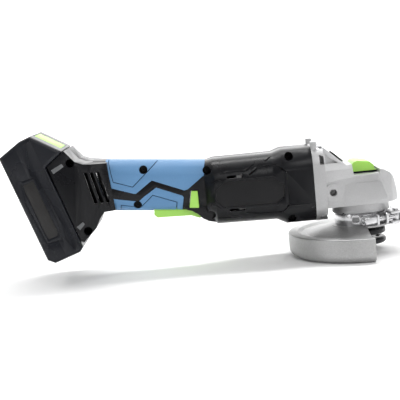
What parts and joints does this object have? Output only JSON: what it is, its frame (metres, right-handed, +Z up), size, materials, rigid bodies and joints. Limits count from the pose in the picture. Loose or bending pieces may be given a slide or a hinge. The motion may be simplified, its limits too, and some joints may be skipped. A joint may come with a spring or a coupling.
{
  "type": "angle grinder",
  "caption": "Cordless angle grinder: bevel gear head with dished disc guard on a quick clamp, brushless motor barrel, slim paddle-switch handle and slide-on battery.",
  "frame": {"origin": "centre of the spindle's lower end face, on the spindle's axis", "axes": "+Z up the spindle from the disc side to the button on top of the gear case, +X from the motor to the nose of the gear case, the battery towards -X, -Y the tool's right-hand side"},
  "size_m": [0.3752, 0.1434, 0.1421],
  "materials": {
    "housing_plastic": "fine moulded texture, charcoal black",
    "grip_rubber": "soft blue overmould, matte",
    "green_plastic": "lime green moulded plastic",
    "cast_aluminium": "bead-blasted die casting",
    "guard_steel": "silver hammer-grain paint on sheet steel",
    "bright_steel": "zinc-plated steel",
    "black_steel": "black oxide steel",
    "gear_steel": "hardened and ground steel",
    "bearing_steel": "polished bearing steel",
    "bronze": "sintered bronze",
    "lamination": "stacked electrical steel",
    "magnet": "nickel-plated magnet",
    "copper": "enamelled copper wire",
    "board": "green circuit board",
    "white_plastic": "glass-filled nylon",
    "battery_plastic": "black moulded plastic with satin facets",
    "label": "plain black label",
    "cell_wrap": "shrink-wrapped cell",
    "wire": "silicone lead",
    "spring_steel": "music wire"
  },
  "bodies": {
    "housing": {"spindle_bearing_outer": "bearing_steel", "spindle_bush": "bronze", "gear_case": "cast_aluminium", "gear_case_screws": "bright_steel", "bearing_cap": "cast_aluminium", "bearing_cap_screws": "black_steel", "spindle_lock_spring": "spring_steel", "stator_core": "lamination", "stator_insulators": "white_plastic", "stator_windings": "copper", "hall_board": "board", "fan_baffle": "housing_plastic", "motor_front_bearing_outer": "bearing_steel", "motor_rear_bearing_outer": "bearing_steel", "housing_right": "housing_plastic", "housing_left": "housing_plastic", "housing_screws": "black_steel", "rating_plate": "label", "grip_upper_right": "grip_rubber", "grip_upper_left": "grip_rubber", "grip_lower_right": "grip_rubber", "grip_lower_left": "grip_rubber", "paddle_pin": "gear_steel", "switch_body": "white_plastic", "controller_board": "board", "motor_leads": "wire", "terminal_block": "white_plastic"},
    "spindle": {"spindle": "gear_steel", "inner_flange": "black_steel", "crown_gear": "gear_steel", "spindle_bearing_inner": "bearing_steel", "spindle_bearing_balls": "bearing_steel"},
    "rotor": {"motor_shaft": "gear_steel", "pinion": "gear_steel", "rotor_core": "lamination", "rotor_magnets": "magnet", "cooling_fan": "white_plastic", "motor_front_bearing_inner": "bearing_steel", "motor_rear_bearing_inner": "bearing_steel", "motor_bearing_balls": "bearing_steel"},
    "lock_nut": {"lock_nut": "black_steel"},
    "guard": {"guard": "guard_steel", "clamp_band": "bright_steel", "clamp_screw": "bright_steel", "clamp_nut": "bright_steel", "clamp_pivot_pin": "bright_steel"},
    "clamp_lever": {"clamp_lever": "bright_steel"},
    "spindle_lock": {"spindle_lock_button": "green_plastic", "spindle_lock_pin": "gear_steel"},
    "paddle": {"paddle_switch": "green_plastic"},
    "plunger": {"switch_plunger": "white_plastic"},
    "lock_off": {"lock_off_button": "green_plastic"},
    "battery": {"battery_case_outer": "battery_plastic", "battery_case_inner": "battery_plastic", "battery_cells": "cell_wrap", "battery_board": "board", "battery_terminals": "bronze", "battery_screws": "black_steel"},
    "release_button": {"battery_release_button": "green_plastic"}
  },
  "joints": [
    {"name": "spindle_spin", "type": "hinge", "parent": "housing", "child": "spindle", "pos_m": [0, 0, 0], "axis": [0, 0, 1], "continuous": true},
    {"name": "motor_spin", "type": "hinge", "parent": "housing", "child": "rotor", "pos_m": [0, 0, 0.0685], "axis": [1, 0, 0], "continuous": true},
    {"name": "lock_nut_travel", "type": "slide", "parent": "spindle", "child": "lock_nut", "axis": [0, 0, -1], "range_m": [0, 0.0104]},
    {"name": "guard_turn", "type": "hinge", "parent": "housing", "child": "guard", "pos_m": [0, 0, 0.0305], "axis": [0, 0, 1], "range_deg": [-45, 90]},
    {"name": "clamp_lever_swing", "type": "hinge", "parent": "guard", "child": "clamp_lever", "pos_m": [0.02984, -0.0214, 0.0306], "axis": [0, 0, -1], "range_deg": [0, 100]},
    {"name": "spindle_lock_press", "type": "slide", "parent": "housing", "child": "spindle_lock", "axis": [0, 0, -1], "range_m": [0, 0.0034], "stiffness_N_per_m": 800, "springref_m": -0.003, "deforming": ["spindle_lock_spring"]},
    {"name": "paddle_press", "type": "hinge", "parent": "housing", "child": "paddle", "pos_m": [-0.15419, 0, 0.05142], "axis": [0, 1, 0], "range_deg": [0, 5], "stiffness_Nm_per_rad": 2, "springref_deg": -11.46},
    {"name": "plunger_press", "type": "slide", "parent": "housing", "child": "plunger", "axis": [0.0958, 0, 0.9954], "range_m": [0, 0.0028]},
    {"name": "lock_off_slide", "type": "slide", "parent": "housing", "child": "lock_off", "axis": [0, 1, 0], "range_m": [0, 0.004], "stiffness_N_per_m": 300, "springref_m": -0.002},
    {"name": "battery_slide", "type": "slide", "parent": "housing", "child": "battery", "axis": [-0.3256, 0, 0.9455], "range_m": [0, 0.09]},
    {"name": "release_press", "type": "slide", "parent": "battery", "child": "release_button", "axis": [-0.5094, 0, -0.8605], "range_m": [0, 0.0016], "stiffness_N_per_m": 600, "springref_m": -0.003}
  ],
  "couplings": [
    {"joint": "motor_spin", "follows": "spindle_spin", "ratio": -3.6364},
    {"joint": "plunger_press", "follows": "paddle_press", "m_per_rad": 0.03}
  ]
}
